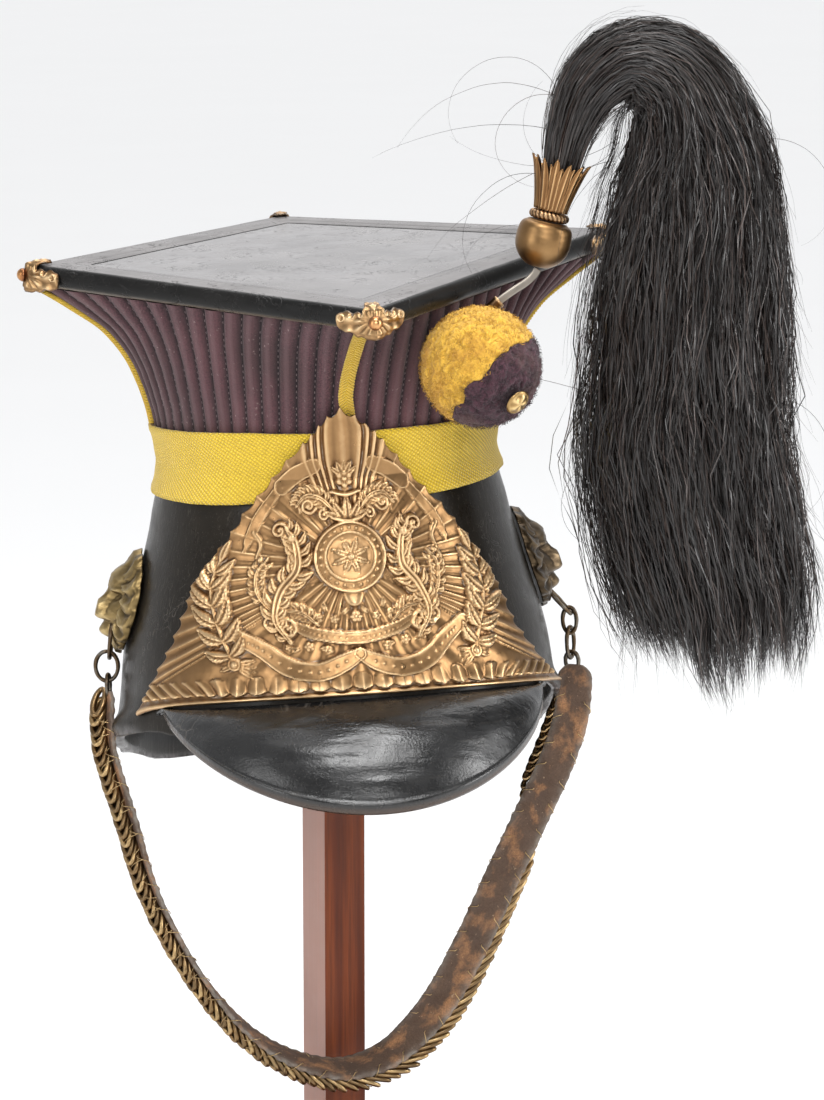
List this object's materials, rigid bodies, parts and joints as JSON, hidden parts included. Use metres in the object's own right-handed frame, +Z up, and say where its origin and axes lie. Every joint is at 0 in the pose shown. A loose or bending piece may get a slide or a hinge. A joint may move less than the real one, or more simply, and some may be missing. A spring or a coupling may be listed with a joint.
{
  "type": "lancer cap with its plain wooden stand",
  "caption": "Lancer cap with a square top, fluted cloth crown, stamped brass front plate, chin chain, cockade and drooping horsehair plume, on a plain wooden stand.",
  "frame": {"origin": "middle of the underside of the stand's base", "axes": "+Z up, the hat's peak and plate face -Y, +X is the viewer's right in a front view, where the plume hangs"},
  "size_m": [0.3097, 0.2562, 0.521],
  "materials": {
    "skull": "black patent leather, glossy and cracked",
    "peak": "black patent leather, glossy and cracked",
    "rim_binding": "black patent leather, glossy and cracked",
    "top_panel": "black patent leather, glossy and cracked",
    "crown_cloth": "fluted purple cloth",
    "cockade_purple": "purple wool tufts",
    "waist_band": "yellow woven worsted",
    "crown_piping_front": "yellow woven worsted",
    "crown_piping_right": "yellow woven worsted",
    "crown_piping_back": "yellow woven worsted",
    "crown_piping_left": "yellow woven worsted",
    "cockade_yellow": "yellow wool tufts",
    "front_plate": "stamped gilt brass, worn",
    "corner_leaf_front": "stamped gilt brass, worn",
    "corner_leaf_right": "stamped gilt brass, worn",
    "corner_leaf_back": "stamped gilt brass, worn",
    "corner_leaf_left": "stamped gilt brass, worn",
    "cockade_button": "stamped gilt brass, worn",
    "lion_boss_left": "tarnished brass",
    "lion_boss_right": "tarnished brass",
    "mouth_ring_left": "tarnished brass",
    "round_ring_left": "tarnished brass",
    "end_link_left": "tarnished brass",
    "mouth_ring_right": "tarnished brass",
    "small_link_right": "tarnished brass",
    "oval_ring_right": "tarnished brass",
    "end_hook_right": "tarnished brass",
    "strap_chain": "tarnished brass",
    "plume_socket": "tarnished brass",
    "plume_ball": "tarnished brass",
    "plume_collar": "tarnished brass",
    "plume_leaves": "tarnished brass",
    "plume_stem": "bright stem",
    "strap_leather": "rubbed brown leather",
    "plume_hair": "black horse hair",
    "stand_base": "stained hardwood",
    "stand_post": "stained hardwood",
    "stand_head": "stained hardwood"
  },
  "bodies": {
    "root": {"skull": "skull", "peak": "peak", "rim_binding": "rim_binding", "top_panel": "top_panel", "crown_cloth": "crown_cloth", "cockade_purple": "cockade_purple", "waist_band": "waist_band", "crown_piping_front": "crown_piping_front", "crown_piping_right": "crown_piping_right", "crown_piping_back": "crown_piping_back", "crown_piping_left": "crown_piping_left", "cockade_yellow": "cockade_yellow", "front_plate": "front_plate", "corner_leaf_front": "corner_leaf_front", "corner_leaf_right": "corner_leaf_right", "corner_leaf_back": "corner_leaf_back", "corner_leaf_left": "corner_leaf_left", "cockade_button": "cockade_button", "lion_boss_left": "lion_boss_left", "lion_boss_right": "lion_boss_right", "mouth_ring_left": "mouth_ring_left", "round_ring_left": "round_ring_left", "end_link_left": "end_link_left", "mouth_ring_right": "mouth_ring_right", "small_link_right": "small_link_right", "oval_ring_right": "oval_ring_right", "end_hook_right": "end_hook_right", "strap_chain": "strap_chain", "plume_socket": "plume_socket", "plume_ball": "plume_ball", "plume_collar": "plume_collar", "plume_leaves": "plume_leaves", "plume_stem": "plume_stem", "strap_leather": "strap_leather", "plume_hair": "plume_hair", "stand_base": "stand_base", "stand_post": "stand_post", "stand_head": "stand_head"}
  },
  "joints": []
}
